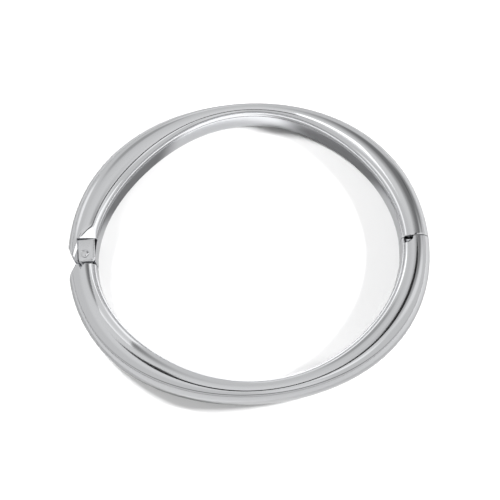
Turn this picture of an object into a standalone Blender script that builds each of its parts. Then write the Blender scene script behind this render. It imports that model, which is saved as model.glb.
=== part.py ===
"""Hinged oval bangle: two hollow half shells, a leaf hinge at -X and a push-in tongue clasp at +X.

The bangle lies flat on Z = 0. Lengths are in metres and every outline is laid out about the
seam line, which runs along X through the hinge and the clasp. The rear half is at +Y and holds
the pin and the tongue, and the front half at -Y swings about the pin.
"""

import math

import bmesh
import bpy
from mathutils import Vector

MM = 0.001

# Driving dimensions: the band seen from above. Each outline is an ellipse, made fuller or
# leaner between its axes: (half length, half width, rear shift, fullness, rear fullness,
# lean, rear lean), where the last five are shares of the radius.
OUTER_OUTLINE = (34.0 * MM, 29.36 * MM, 0.0204, 0.0213, 0.0043, 0.0009, 0.0018)
INNER_OUTLINE = (28.48 * MM, 25.76 * MM, 0.042, -0.0264, -0.0009, 0.0087, 0.0177)
SEAM_Y = -OUTER_OUTLINE[1] * OUTER_OUTLINE[2]  # centres the band's box on the origin

# The band's section
BAND_HEIGHT = 7.4 * MM
LAND = 0.12 * MM            # how far the underside is planed flat to rest on
DOME_EXPONENT = 2.3         # outer side of the section, 2 is an ellipse
COMFORT_EXPONENT = 3.4      # inner side, flatter against the wrist
SHELL_WALL = 0.45 * MM
LINER_WALL = 0.35 * MM
LINER_REACH = 0.6           # share of the section's height that the liner fills
LIP_GAP = 0.02              # share of it left open between shell and liner
FIT = 0.06 * MM             # gap between two pieces that are soldered or slide

# Hinge
PIN_X = -30.5 * MM
PIN_Y = 1.2 * MM
PIN_RADIUS = 0.55 * MM
PIN_HEAD_RADIUS = 0.8 * MM
PIN_HEAD_RISE = 0.22 * MM
PIN_HEAD_STEPS = ((1.0, 0.0), (0.8, 0.6), (0.35, 1.0))  # shares of the head's radius and rise
PIN_RUN = 0.04 * MM         # radial running clearance
LEAF_LEFT = -31.8 * MM
LEAF_RIGHT = -29.08 * MM
LEAF_FRONT = -0.4 * MM
LEAF_BACK = 4.05 * MM
LEAF_CORNER = 0.8 * MM
LEAF_TOP = 6.75 * MM
LEAF_BOTTOM = 0.65 * MM
LEAF_THICK = 1.6 * MM
NOSE_DEPTH = 1.95 * MM      # how far the outer notch reaches in from the outer side
REAR_NOSE_LENGTH = 3.5 * MM
FRONT_NOSE_LENGTH = 2.5 * MM
NOSE_EXPONENT = 1.2         # 1 is a straight chamfer, 2 a round nose
FRONT_SETBACK = 0.85 * MM   # the front half stops this far short of the seam
REAR_OVERRUN = 0.4 * MM     # the rear half's inner wall passes the seam by this
KNUCKLE_RADIUS = 1.45 * MM
KNUCKLE_ARM_HALF = 0.9 * MM
KNUCKLE_SLOT_BACK = 2.0 * MM
REAR_BLOCK_DEPTH = 6.0 * MM
FRONT_BLOCK_DEPTH = 3.5 * MM
POCKET = ((-31.75, -0.5), (-30.3, -0.5), (-31.45, -1.95))  # mm, seen from above
POCKET_FLOOR = 5.3 * MM

# Clasp
SEAM_GAP = 0.05 * MM        # each half stops this far from the seam
CAP_THICK = 0.55 * MM
TONGUE_LEFT = 30.0 * MM
TONGUE_RIGHT = 31.8 * MM
TONGUE_ROOT_Y = 1.9 * MM
FOLD_Y = -5.0 * MM
FOLD_Z = 2.95 * MM
FOLD_HEEL = 0.25 * MM       # where the straight leaves stop short of the fold
FOLD_ROOM = 0.1 * MM        # how much the fold swells beyond the strip
FOLD_TOE = 0.12 * MM
FOLD_STOP = 0.3             # radians by which the fold falls short of a half turn
BASE_LEAF_LOW = 2.45 * MM
BASE_LEAF_THICK = 0.4 * MM
SPRING_LEAF_THICK = 0.35 * MM
SPRING_FREE_Y = -0.3 * MM
SPRING_FREE_Z = 4.45 * MM
BOX_LEFT = 29.65 * MM
BOX_RIGHT = 32.45 * MM
BOX_LOW = 2.1 * MM
BOX_HIGH = 5.35 * MM
BOX_WALL = 0.25 * MM
BOX_MOUTH_Y = -1.3 * MM
BOX_END_Y = -5.6 * MM
NOTCH_LEFT = 28.98 * MM     # leaves the shell's inner lip standing
NOTCH_RIGHT = 30.65 * MM
NOTCH_WAIST = 29.75 * MM
NOTCH_SHOULDER = 0.55 * MM
NOTCH_LENGTH = 1.15 * MM
CAP_NOTCH_FLOOR = 3.9 * MM   # the tab can sink to here
TAB_LEFT = 29.35 * MM
TAB_RIGHT = 30.25 * MM
TAB_FRONT = -0.95 * MM
TAB_BACK = -0.55 * MM
TAB_TOP = 6.85 * MM
TAB_SLOPE = 0.3 * MM        # how much lower its front edge is

# Mesh fineness
STATIONS = 38               # sections along each half
DOME_POINTS = 15            # points around a shell's outer side
LINER_POINTS = 5
CIRCLE_SIDES = 24
PLUG_SIDES = 20             # around a block that fills the band
KNUCKLE_SIDES = 20
FOLD_SIDES = 5              # around the tongue's folded end
NOSE_STEPS = 7

# Reach of the cutters
PAST_SEAM = 0.5 * MM        # how far a clasp cutter runs back over the seam
PAST_NOSE = 2.0 * MM
LEAF_ZONE_RIGHT = -27.0 * MM
KNUCKLE_SLOT_RIGHT = -31.0 * MM
TONGUE_SLOT_FRONT = -1.0 * MM
TONGUE_SLOT_BACK = 1.5 * MM
CAP_CUT_FRONT = -1.5 * MM
BOX_CUT_FRONT = -8.0 * MM

CLASP_TURN = 0.0            # the band's parameter at the clasp
HINGE_TURN = math.pi        # and at the hinge


def srgb(hex_colour):
    """Linear RGBA from an sRGB hex value."""
    parts = [int(hex_colour[i:i + 2], 16) / 255 for i in (0, 2, 4)]
    return [c / 12.92 if c < 0.04045 else ((c + 0.055) / 1.055) ** 2.4 for c in parts] + [1.0]


def metal(name, hex_colour, roughness):
    material = bpy.data.materials.new(name)
    material.use_nodes = True
    shader = material.node_tree.nodes["Principled BSDF"]
    shader.inputs["Base Color"].default_value = srgb(hex_colour)
    shader.inputs["Metallic"].default_value = 1.0
    shader.inputs["Roughness"].default_value = roughness
    return material


def clear_scene():
    for thing in list(bpy.data.objects):
        bpy.data.objects.remove(thing, do_unlink=True)


# ---------------------------------------------------------------- the band's shape

def outline_point(outline, turn):
    """A point of an outline: an ellipse scaled by its fullness and lean at that turn."""
    length, width, shift, full, rear_full, lean, rear_lean = outline
    side = math.sin(turn)
    scale = (1 + math.sin(2 * turn) ** 2 * (full + rear_full * side)
             + math.sin(2 * turn) * (lean + rear_lean * side))
    return Vector((length * math.cos(turn) * scale, width * side * (1 + shift * side) * scale))


def turn_at(y, near):
    """The turn, close to the clasp or the hinge, where the outer outline has this y."""
    step = math.asin(y / OUTER_OUTLINE[1])
    return near + step * math.cos(near)


def section_point(turn, angle, inset=0.0):
    """A point of the section at a turn. Angle 0 is the outer side, pi / 2 the top.
    The section is a superellipse whose half widths shrink by inset."""
    outer = outline_point(OUTER_OUTLINE, turn)
    inner = outline_point(INNER_OUTLINE, turn)
    half_width = (outer - inner).length / 2 - inset
    half_height = (BAND_HEIGHT + LAND) / 2
    c, s = math.cos(angle), math.sin(angle)
    power = DOME_EXPONENT if c > 0 else COMFORT_EXPONENT
    reach = (abs(c) ** power + abs(s) ** power) ** (-1 / power)
    across = (outer + inner) / 2 + (outer - inner).normalized() * half_width * reach * c
    height = half_height - LAND + (half_height - inset) * reach * s
    return Vector((across.x, across.y, max(height, 0.0)))


def spread(first, last, count):
    """Evenly spaced values, both ends included."""
    return [first + (last - first) * i / (count - 1) for i in range(count)]


def strip_ring(turn, around, wall):
    """A closed ring: along the section's surface and back again, one wall thickness in."""
    face = [section_point(turn, a) for a in around]
    back = [section_point(turn, a, wall) for a in reversed(around)]
    return face + back


def shell_ring(turn):
    lip = math.pi - lip_angle(LINER_REACH)
    around = spread(-lip, lip, DOME_POINTS)
    return strip_ring(turn, around, SHELL_WALL)


def liner_ring(turn):
    lip = math.pi - lip_angle(LINER_REACH - LIP_GAP)
    around = spread(lip, 2 * math.pi - lip, LINER_POINTS)
    return strip_ring(turn, around, LINER_WALL)


def lip_angle(reach):
    """The section angle, from the inner side, at which the inner face has that height."""
    low, high = 0.0, math.pi / 2
    for _ in range(40):
        middle = (low + high) / 2
        c, s = math.cos(middle), math.sin(middle)
        height = s * (c ** COMFORT_EXPONENT + s ** COMFORT_EXPONENT) ** (-1 / COMFORT_EXPONENT)
        low, high = (middle, high) if height < reach else (low, middle)
    return low


def plug_ring(turn):
    """The section's inside, filled, with a gap to the shell and the liner."""
    around = [2 * math.pi * i / PLUG_SIDES for i in range(PLUG_SIDES)]
    return [section_point(turn, a, SHELL_WALL + FIT) for a in around]


# ---------------------------------------------------------------- mesh helpers

def add_object(name, bm, material, root, pivot):
    """Makes the object, with its origin at pivot and its parent at the seam's centre."""
    bmesh.ops.recalc_face_normals(bm, faces=bm.faces)
    bmesh.ops.translate(bm, verts=bm.verts, vec=-pivot)
    mesh = bpy.data.meshes.new(name)
    bm.to_mesh(mesh)
    bm.free()
    mesh.shade_smooth()
    mesh.set_sharp_from_angle(angle=math.radians(35))
    piece = bpy.data.objects.new(name, mesh)
    bpy.context.scene.collection.objects.link(piece)
    piece.parent = root
    piece.location = pivot
    if material is not None:
        mesh.materials.append(material)
    return piece


def swept(rings):
    """A closed solid through rings of equally many points, capped at both ends."""
    bm = bmesh.new()
    rows = [[bm.verts.new(p) for p in ring] for ring in rings]
    count = len(rows[0])
    for row, following in zip(rows, rows[1:]):
        for i in range(count):
            j = (i + 1) % count
            bm.faces.new((row[i], row[j], following[j], following[i]))
    bm.faces.new(rows[0])
    bm.faces.new(reversed(rows[-1]))
    return bm


def prism(outline, low, high):
    """An outline in X and Y, extruded from low to high."""
    rings = [[Vector((p[0], p[1], z)) for p in outline] for z in (low, high)]
    return swept(rings)


def side_prism(outline, low, high):
    """An outline in Y and Z, extruded along X from low to high."""
    rings = [[Vector((x, p[0], p[1])) for p in outline] for x in (low, high)]
    return swept(rings)


def circle(x, y, radius, sides=CIRCLE_SIDES):
    return [(x + radius * math.cos(2 * math.pi * i / sides),
             y + radius * math.sin(2 * math.pi * i / sides)) for i in range(sides)]


def rectangle(left, right, front, back):
    return [(left, front), (right, front), (right, back), (left, back)]


def cut(piece, name, bm, root):
    """Takes a shape out of a piece with a live Boolean. The cutter is hidden."""
    cutter = add_object(name, bm, None, root, Vector())
    cutter.hide_render = True
    cutter.display_type = "WIRE"
    boolean = piece.modifiers.new(name, "BOOLEAN")
    boolean.operation = "DIFFERENCE"
    boolean.solver = "EXACT"
    boolean.object = cutter
    return piece


# ---------------------------------------------------------------- cutters' outlines

BELOW = -1 * MM
ABOVE = BAND_HEIGHT + 1 * MM
OUTSIDE_X = -36 * MM


def nose_outline(start_y, length, direction):
    """What the outer notch takes away: outside a nose that curves from the seam side to the
    outer face as a quarter superellipse."""
    points = []
    for i in range(NOSE_STEPS):
        share = i / (NOSE_STEPS - 1)
        depth = NOSE_DEPTH * (1 - (1 - (1 - share) ** NOSE_EXPONENT) ** (1 / NOSE_EXPONENT))
        points.append((-OUTER_OUTLINE[0] + depth, start_y + direction * length * share))
    overrun = start_y - direction * PAST_NOSE
    points.append((OUTSIDE_X, start_y + direction * length))
    points.append((OUTSIDE_X, overrun))
    points.append((LEAF_LEFT, overrun))
    points.append((LEAF_LEFT, start_y))
    return points


def leaf_zone():
    return rectangle(LEAF_LEFT - FIT, LEAF_ZONE_RIGHT, -PAST_NOSE, LEAF_BACK + FIT)


def pocket_outline():
    return [(x * MM, y * MM) for x, y in POCKET]


def knuckle_low():
    return LEAF_BOTTOM + LEAF_THICK + FIT


def knuckle_high():
    return LEAF_TOP - LEAF_THICK - FIT


# ---------------------------------------------------------------- rear half

def rear_turns(count=STATIONS):
    return spread(turn_at(SEAM_GAP, CLASP_TURN), turn_at(-REAR_OVERRUN, HINGE_TURN), count)


def cut_rear_hinge_end(piece, root):
    cut(piece, piece.name + "_cut_leaves", prism(leaf_zone(), BELOW, ABOVE), root)
    nose = nose_outline(0.0, REAR_NOSE_LENGTH, 1)
    cut(piece, piece.name + "_cut_nose", prism(nose, BELOW, ABOVE), root)
    slot = rectangle(OUTSIDE_X, KNUCKLE_SLOT_RIGHT, -PAST_NOSE, KNUCKLE_SLOT_BACK)
    cut(piece, piece.name + "_cut_slot", prism(slot, knuckle_low() - FIT, knuckle_high() + FIT), root)
    return piece


def rear_outer_shell(material, root):
    bm = swept([shell_ring(t) for t in rear_turns()])
    piece = add_object("rear_outer_shell", bm, material, root, Vector())
    return cut_rear_hinge_end(piece, root)


def rear_inner_liner(material, root):
    bm = swept([liner_ring(t) for t in rear_turns()])
    return add_object("rear_inner_liner", bm, material, root, Vector())


def rear_hinge_block(material, root):
    stations = spread(turn_at(REAR_BLOCK_DEPTH, HINGE_TURN), turn_at(-REAR_OVERRUN, HINGE_TURN), 5)
    piece = add_object("rear_hinge_block", swept([plug_ring(t) for t in stations]), material,
                       root, Vector())
    return cut_rear_hinge_end(piece, root)


def leaf_outline():
    """A plate with its two front corners rounded."""
    points = [(LEAF_RIGHT, LEAF_BACK), (LEAF_LEFT, LEAF_BACK)]
    for centre_x, first in ((LEAF_LEFT + LEAF_CORNER, math.pi), (LEAF_RIGHT - LEAF_CORNER, 1.5 * math.pi)):
        for i in range(6):
            a = first + i * math.pi / 10
            points.append((centre_x + LEAF_CORNER * math.cos(a),
                           LEAF_FRONT + LEAF_CORNER + LEAF_CORNER * math.sin(a)))
    return points


def hinge_leaf(name, low, material, root):
    piece = add_object(name, prism(leaf_outline(), low, low + LEAF_THICK), material, root, Vector())
    hole = prism(circle(PIN_X, PIN_Y, PIN_RADIUS + PIN_RUN), BELOW, ABOVE)
    return cut(piece, name + "_cut_hole", hole, root)


def hinge_pin(material, root):
    """A shank with two low peened heads, as a stack of circles."""
    low, high = LEAF_BOTTOM - FIT, LEAF_TOP + FIT
    profile = [(PIN_HEAD_RADIUS * share, low - PIN_HEAD_RISE * rise)
               for share, rise in reversed(PIN_HEAD_STEPS)]
    profile += [(PIN_RADIUS, low), (PIN_RADIUS, high)]
    profile += [(PIN_HEAD_RADIUS * share, high + PIN_HEAD_RISE * rise)
                for share, rise in PIN_HEAD_STEPS]
    rings = [[Vector((x, y, z)) for x, y in circle(PIN_X, PIN_Y, r)] for r, z in profile]
    return add_object("hinge_pin", swept(rings), material, root, Vector((PIN_X, PIN_Y, 0)))


def rear_clasp_cap(material, root):
    first = turn_at(SEAM_GAP, CLASP_TURN)
    stations = spread(first, first + CAP_THICK / OUTER_OUTLINE[1], 2)
    piece = add_object("rear_clasp_cap", swept([plug_ring(t) for t in stations]), material,
                       root, Vector())
    slot = rectangle(TONGUE_LEFT - FIT, TONGUE_RIGHT + FIT, TONGUE_SLOT_FRONT, TONGUE_SLOT_BACK)
    low = BASE_LEAF_LOW - FIT
    return cut(piece, "cut_tongue_root", prism(slot, low, low + BASE_LEAF_THICK + 2 * FIT), root)


def tongue_base_leaf(material, root):
    """The tongue's fixed leaf, from inside the rear half to just short of the fold."""
    outline = rectangle(TONGUE_LEFT, TONGUE_RIGHT, FOLD_Y + FOLD_HEEL, TONGUE_ROOT_Y)
    bm = prism(outline, BASE_LEAF_LOW, BASE_LEAF_LOW + BASE_LEAF_THICK)
    return add_object("tongue_base_leaf", bm, material, root, Vector())


# ---------------------------------------------------------------- front half

def front_turns(count=STATIONS):
    return spread(turn_at(-FRONT_SETBACK, HINGE_TURN), turn_at(-SEAM_GAP, 2 * HINGE_TURN), count)


def cut_front_hinge_end(piece, root):
    nose = nose_outline(-FRONT_SETBACK, FRONT_NOSE_LENGTH, -1)
    cut(piece, piece.name + "_cut_nose", prism(nose, BELOW, ABOVE), root)
    cut(piece, piece.name + "_cut_pocket", prism(pocket_outline(), POCKET_FLOOR, ABOVE), root)
    return piece


def cut_thumb_notch(piece, root):
    """The notch for the thumb tab, open at the seam and narrowing away from it."""
    outline = [(NOTCH_LEFT, PAST_SEAM), (NOTCH_RIGHT, PAST_SEAM), (NOTCH_RIGHT, -NOTCH_SHOULDER),
               (NOTCH_WAIST, -NOTCH_LENGTH), (NOTCH_LEFT, -NOTCH_LENGTH)]
    return cut(piece, piece.name + "_cut_notch", prism(outline, BOX_HIGH, ABOVE), root)


def front_outer_shell(material, root, pivot):
    bm = swept([shell_ring(t) for t in front_turns()])
    piece = add_object("front_outer_shell", bm, material, root, pivot)
    cut_front_hinge_end(piece, root)
    return cut_thumb_notch(piece, root)


def front_inner_liner(material, root, pivot):
    bm = swept([liner_ring(t) for t in front_turns()])
    return add_object("front_inner_liner", bm, material, root, pivot)


def front_hinge_block(material, root, pivot):
    stations = spread(turn_at(-FRONT_SETBACK, HINGE_TURN),
                     turn_at(-FRONT_SETBACK - FRONT_BLOCK_DEPTH, HINGE_TURN), 4)
    piece = add_object("front_hinge_block", swept([plug_ring(t) for t in stations]), material,
                       root, pivot)
    return cut_front_hinge_end(piece, root)


def hinge_knuckle(material, root, pivot):
    """A round eye about the pin with an arm to the front half's block."""
    radius, half = KNUCKLE_RADIUS, KNUCKLE_ARM_HALF
    start = math.asin(half / radius) - math.pi / 2
    span = 2 * math.pi - 2 * math.asin(half / radius)
    angles = [start + span * i / KNUCKLE_SIDES for i in range(KNUCKLE_SIDES + 1)]
    points = [(PIN_X + radius * math.cos(a), PIN_Y + radius * math.sin(a)) for a in angles]
    end_y = FIT - FRONT_SETBACK * INNER_OUTLINE[1] / OUTER_OUTLINE[1]
    points += [(PIN_X - half, end_y), (PIN_X + half, end_y)]
    bm = prism(points, knuckle_low(), knuckle_high())
    piece = add_object("hinge_knuckle", bm, material, root, pivot)
    hole = prism(circle(PIN_X, PIN_Y, PIN_RADIUS + PIN_RUN), BELOW, ABOVE)
    return cut(piece, "knuckle_cut_hole", hole, root)


def front_clasp_cap(material, root, pivot):
    last = turn_at(-SEAM_GAP, 2 * HINGE_TURN)
    stations = spread(last - CAP_THICK / OUTER_OUTLINE[1], last, 2)
    piece = add_object("front_clasp_cap", swept([plug_ring(t) for t in stations]), material,
                       root, pivot)
    window = rectangle(BOX_LEFT + BOX_WALL, BOX_RIGHT - BOX_WALL, CAP_CUT_FRONT, PAST_SEAM)
    bm = prism(window, BOX_LOW + BOX_WALL, BOX_HIGH - BOX_WALL)
    cut(piece, "cut_tongue_window", bm, root)
    notch = rectangle(NOTCH_LEFT, NOTCH_RIGHT, CAP_CUT_FRONT, PAST_SEAM)
    return cut(piece, "cut_cap_notch", prism(notch, CAP_NOTCH_FLOOR, ABOVE), root)


def clasp_guide_box(material, root, pivot):
    """An open-ended square tube that guides the tongue."""
    bm = prism(rectangle(BOX_LEFT, BOX_RIGHT, BOX_END_Y, BOX_MOUTH_Y), BOX_LOW, BOX_HIGH)
    piece = add_object("clasp_guide_box", bm, material, root, pivot)
    inside = rectangle(BOX_LEFT + BOX_WALL, BOX_RIGHT - BOX_WALL, BOX_CUT_FRONT, PAST_SEAM)
    bm = prism(inside, BOX_LOW + BOX_WALL, BOX_HIGH - BOX_WALL)
    return cut(piece, "cut_box_inside", bm, root)


# ---------------------------------------------------------------- latch

def tongue_spring_leaf(material, root, pivot):
    """The folded end and the leaf that rises from it back to the seam."""
    thick = SPRING_LEAF_THICK
    rise = math.atan2(SPRING_FREE_Z - FOLD_Z, SPRING_FREE_Y - FOLD_Y)
    along = Vector((math.cos(rise), math.sin(rise)))
    up = Vector((-math.sin(rise), math.cos(rise)))
    fold = Vector((FOLD_Y, FOLD_Z))
    free = Vector((SPRING_FREE_Y, SPRING_FREE_Z))
    start = fold + along * FOLD_HEEL + up * FOLD_ROOM
    points = [start, free, free + up * thick]
    points.append(fold + up * (thick + FOLD_ROOM))
    for i in range(1, FOLD_SIDES + 1):
        a = rise + math.pi / 2 + i * (math.pi - FOLD_STOP) / FOLD_SIDES
        points.append(fold + Vector((math.cos(a), math.sin(a))) * (thick + FOLD_ROOM))
    points.append(fold + Vector((FOLD_TOE, -FOLD_ROOM)))
    bm = side_prism([tuple(p) for p in points], TONGUE_LEFT, TONGUE_RIGHT)
    return add_object("tongue_spring_leaf", bm, material, root, pivot)


def thumb_tab(material, root, pivot):
    """A lug on the spring leaf's free end. It reaches up through the notch."""
    low = SPRING_FREE_Z + SPRING_LEAF_THICK + FIT
    outline = [(TAB_FRONT, low), (TAB_BACK, low), (TAB_BACK, TAB_TOP), (TAB_FRONT, TAB_TOP - TAB_SLOPE)]
    bm = side_prism(outline, TAB_LEFT, TAB_RIGHT)
    return add_object("thumb_tab", bm, material, root, pivot)


def build():
    clear_scene()
    root = bpy.data.objects.new("bangle", None)
    bpy.context.scene.collection.objects.link(root)
    root.location = (0.0, SEAM_Y, 0.0)
    hinge = Vector((PIN_X, PIN_Y, 0.0))
    flex = Vector(((TONGUE_LEFT + TONGUE_RIGHT) / 2, FOLD_Y, FOLD_Z))

    rear_outer_shell(metal("polished_plate", "D9DADC", 0.06), root)
    rear_inner_liner(metal("liner_polish", "D2D3D5", 0.1), root)
    rear_hinge_block(metal("block_polish", "C9CACC", 0.16), root)
    hinge_leaf("hinge_top_leaf", LEAF_TOP - LEAF_THICK, metal("leaf_polish", "DCDDDF", 0.12), root)
    hinge_leaf("hinge_bottom_leaf", LEAF_BOTTOM, metal("lower_leaf_polish", "DCDDDF", 0.12), root)
    hinge_pin(metal("peened_pin", "D5D6D8", 0.18), root)
    rear_clasp_cap(metal("rear_cap_polish", "CCCDCF", 0.16), root)
    tongue_base_leaf(metal("tongue_plate", "C6C7C9", 0.2), root)

    front_outer_shell(metal("front_polished_plate", "D9DADC", 0.06), root, hinge)
    front_inner_liner(metal("front_liner_polish", "D2D3D5", 0.1), root, hinge)
    front_hinge_block(metal("front_block_polish", "C9CACC", 0.16), root, hinge)
    hinge_knuckle(metal("knuckle_satin", "C3C4C6", 0.22), root, hinge)
    front_clasp_cap(metal("front_cap_polish", "CCCDCF", 0.16), root, hinge)
    clasp_guide_box(metal("guide_box_satin", "BFC0C2", 0.28), root, hinge)

    tongue_spring_leaf(metal("spring_temper", "C6C7C9", 0.2), root, flex)
    thumb_tab(metal("tab_polish", "DADBDD", 0.12), root, flex)


build()
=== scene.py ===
"""The looks of a hinged oval bangle in polished white metal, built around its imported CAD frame.

Every piece is a surface worked out with numpy in the frame's own place and metres. The band is
one section carried round two outlines; the hinge and the clasp are bevelled plates, turned
pieces and bent strip set where the frame has them.
"""
import math

import bpy
import numpy as np
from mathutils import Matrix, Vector


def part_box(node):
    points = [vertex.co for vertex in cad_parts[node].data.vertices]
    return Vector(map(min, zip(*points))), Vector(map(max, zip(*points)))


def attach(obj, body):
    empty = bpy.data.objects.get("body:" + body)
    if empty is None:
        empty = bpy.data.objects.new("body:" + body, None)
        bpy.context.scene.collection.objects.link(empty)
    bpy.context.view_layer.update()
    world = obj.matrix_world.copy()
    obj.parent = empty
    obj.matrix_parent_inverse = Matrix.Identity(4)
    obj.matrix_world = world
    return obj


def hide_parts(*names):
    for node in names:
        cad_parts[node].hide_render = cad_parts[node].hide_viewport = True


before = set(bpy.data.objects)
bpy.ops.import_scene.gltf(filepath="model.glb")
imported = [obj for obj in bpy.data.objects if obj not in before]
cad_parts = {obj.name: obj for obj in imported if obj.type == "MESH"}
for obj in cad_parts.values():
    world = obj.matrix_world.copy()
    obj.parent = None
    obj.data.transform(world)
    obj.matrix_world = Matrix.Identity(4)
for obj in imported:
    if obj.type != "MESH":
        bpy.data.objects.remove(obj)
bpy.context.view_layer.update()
MM = 0.001

# ------------------------------------------------------------------ the band's dimensions
# An outline is an ellipse made fuller or leaner between its axes: half length, half width,
# rear shift, fullness, rear fullness, lean and rear lean, the last five as shares of the radius.
OUTER_OUTLINE = (34.0 * MM, 29.36 * MM, 0.0204, 0.0213, 0.0043, 0.0009, 0.0018)
INNER_OUTLINE = (28.58 * MM, 25.86 * MM, 0.042, -0.0264, -0.0009, 0.0087, 0.0177)
SEAM_Y = -OUTER_OUTLINE[1] * OUTER_OUTLINE[2]
BAND_HEIGHT = 7.4 * MM
LAND = 0.12 * MM             # planed off the underside
DOME_EXPONENT = 2.3
COMFORT_TOP = 2.6            # round over the top of the inner side
COMFORT_WALL = 4.6           # and nearly flat where it meets the wrist
SHELL_WALL = 0.45 * MM
LINER_WALL = 0.35 * MM
LINER_REACH = 0.6            # share of the half height at which shell and liner meet
HAIRLINE = 0.05 * MM         # the seam left between them
EDGE = 0.08 * MM             # how far a polished edge is rounded over
SEAM_GAP = 0.05 * MM
FIT = 0.06 * MM

# The hinge's gaps and noses
FRONT_SETBACK = 0.85 * MM
REAR_OVERRUN = 0.4 * MM
NOSE_DEPTH = 1.95 * MM
REAR_NOSE_LENGTH = 3.5 * MM
FRONT_NOSE_LENGTH = 2.5 * MM
NOSE_EXPONENT = 1.2

CLASP = 0.0                  # the outlines' turn at the clasp
HINGE = math.pi              # and at the hinge
TURN_STEPS = 6               # enough for turn_for to settle
TRIAL_POINTS = 2001


def in_seam_frame(node):
    """A CAD node's corners, with Y counted from the seam."""
    low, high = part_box(node)
    return (Vector((low.x, low.y - SEAM_Y, low.z)), Vector((high.x, high.y - SEAM_Y, high.z)))


PIN_LOW, PIN_HIGH = in_seam_frame("hinge_pin")
LEAF_LOW, LEAF_HIGH = in_seam_frame("hinge_top_leaf")
LOWER_LEAF_LOW, LOWER_LEAF_HIGH = in_seam_frame("hinge_bottom_leaf")
KNUCKLE_LOW, KNUCKLE_HIGH = in_seam_frame("hinge_knuckle")
BASE_LOW, BASE_HIGH = in_seam_frame("tongue_base_leaf")
SPRING_LOW, SPRING_HIGH = in_seam_frame("tongue_spring_leaf")
TAB_LOW, TAB_HIGH = in_seam_frame("thumb_tab")
GUIDE_LOW, GUIDE_HIGH = in_seam_frame("clasp_guide_box")
PIN_X = (PIN_LOW.x + PIN_HIGH.x) / 2
PIN_Y = (PIN_LOW.y + PIN_HIGH.y) / 2
RECESS_X = LEAF_LOW.x - FIT
RECESS_Y = LEAF_HIGH.y + FIT


# ------------------------------------------------------------------ the band's surface

def outline(shape, turn):
    """An ellipse at that turn, scaled by its fullness (a sin squared of twice the turn) and by
    its lean (a sine of twice the turn), each a little different front and rear."""
    length, width, shift, full, rear_full, lean, rear_lean = shape
    side = np.sin(turn)
    scale = 1 + np.sin(2 * turn) ** 2 * (full + rear_full * side)
    scale = scale + np.sin(2 * turn) * (lean + rear_lean * side)
    return np.stack([length * np.cos(turn) * scale, width * side * (1 + shift * side) * scale], -1)


def section(turn, angle, inset):
    """Points of the band: across the two outlines the cosine and up the sine, each raised to two
    over its exponent. Angle 0 is the outer side and a quarter turn is the top. Inset shrinks
    both half widths."""
    turn, angle, inset = np.broadcast_arrays(turn, angle, inset)
    outer, inner = outline(OUTER_OUTLINE, turn), outline(INNER_OUTLINE, turn)
    across = outer - inner
    width = np.linalg.norm(across, axis=-1)
    c, s = np.cos(angle), np.sin(angle)
    aside = np.sign(c) * np.abs(c) ** (2 / np.where(c > 0, DOME_EXPONENT, COMFORT_TOP))
    upward = np.sign(s) * np.abs(s) ** (2 / np.where(c > 0, DOME_EXPONENT, COMFORT_WALL))
    plan = (outer + inner) / 2 + across / width[..., None] * ((width / 2 - inset) * aside)[..., None]
    half_height = (BAND_HEIGHT + LAND) / 2
    height = half_height - LAND + (half_height - inset) * upward
    return np.stack([plan[..., 0], plan[..., 1], np.maximum(height, 0.0)], -1)


def turn_at(y, near):
    """The turn near the clasp or the hinge at which the outer outline has this y."""
    return near + np.arcsin(y / OUTER_OUTLINE[1]) * math.cos(near)


def turn_for(y, near, angle, inset):
    """The turn at which the band's point at that angle and inset has this y, by stepping."""
    turn = turn_at(y, near)
    for _ in range(TURN_STEPS):
        miss = y - section(turn, angle, inset)[..., 1]
        turn = turn + miss / OUTER_OUTLINE[1] * math.cos(near)
    return turn


def lip_angle(reach):
    """The section angle at which the inner face, above its middle, has that share of the half
    height."""
    return math.pi - math.asin(reach ** (COMFORT_WALL / 2))


def angle_at_x(x, turn):
    """The angle on the domed side at which the section stands at this x: the arc cosine of its
    share of the half width, raised to half the dome's exponent. The share is kept off both ends."""
    outer, inner = outline(OUTER_OUTLINE, turn), outline(INNER_OUTLINE, turn)
    across = outer - inner
    share = (x - (outer + inner)[..., 0] / 2) / (across[..., 0] / 2)
    share = np.clip(share, 0.02, 0.98)
    return np.arccos(share ** (DOME_EXPONENT / 2))


def nose(x, length, start_y, direction):
    """Where the rounded nose beside the hinge ends at each x: a quarter superellipse."""
    left = 1 - np.clip((x + OUTER_OUTLINE[0]) / NOSE_DEPTH, 0, 1)
    # depth = 1 - (1 - (1 - share)^n)^(1/n), solved for the share of the length
    share = 1 - (1 - left ** NOSE_EXPONENT) ** (1 / NOSE_EXPONENT)
    return start_y + direction * length * share


def smooth_step(value, low, high):
    """0 below low, 1 above high, and 3 t^2 - 2 t^3 between them."""
    t = np.clip((value - low) / (high - low), 0, 1)
    return t * t * (3 - 2 * t)


# ------------------------------------------------------------------ mesh helpers

def put_in_mesh(name, points, faces, uv=None):
    """A mesh of points (seam frame, moved here to the frame's own place) and faces of any size."""
    points = np.asarray(points, float).reshape(-1, 3) + (0, SEAM_Y, 0)
    mesh = bpy.data.meshes.new(name)
    mesh.from_pydata(points.tolist(), [], faces)
    if uv is not None:
        layer = mesh.uv_layers.new(name="polish")
        corners = np.zeros(len(mesh.loops), np.int32)
        mesh.loops.foreach_get("vertex_index", corners)
        layer.uv.foreach_set("vector", np.asarray(uv, np.float32)[corners].ravel())
    return mesh


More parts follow.
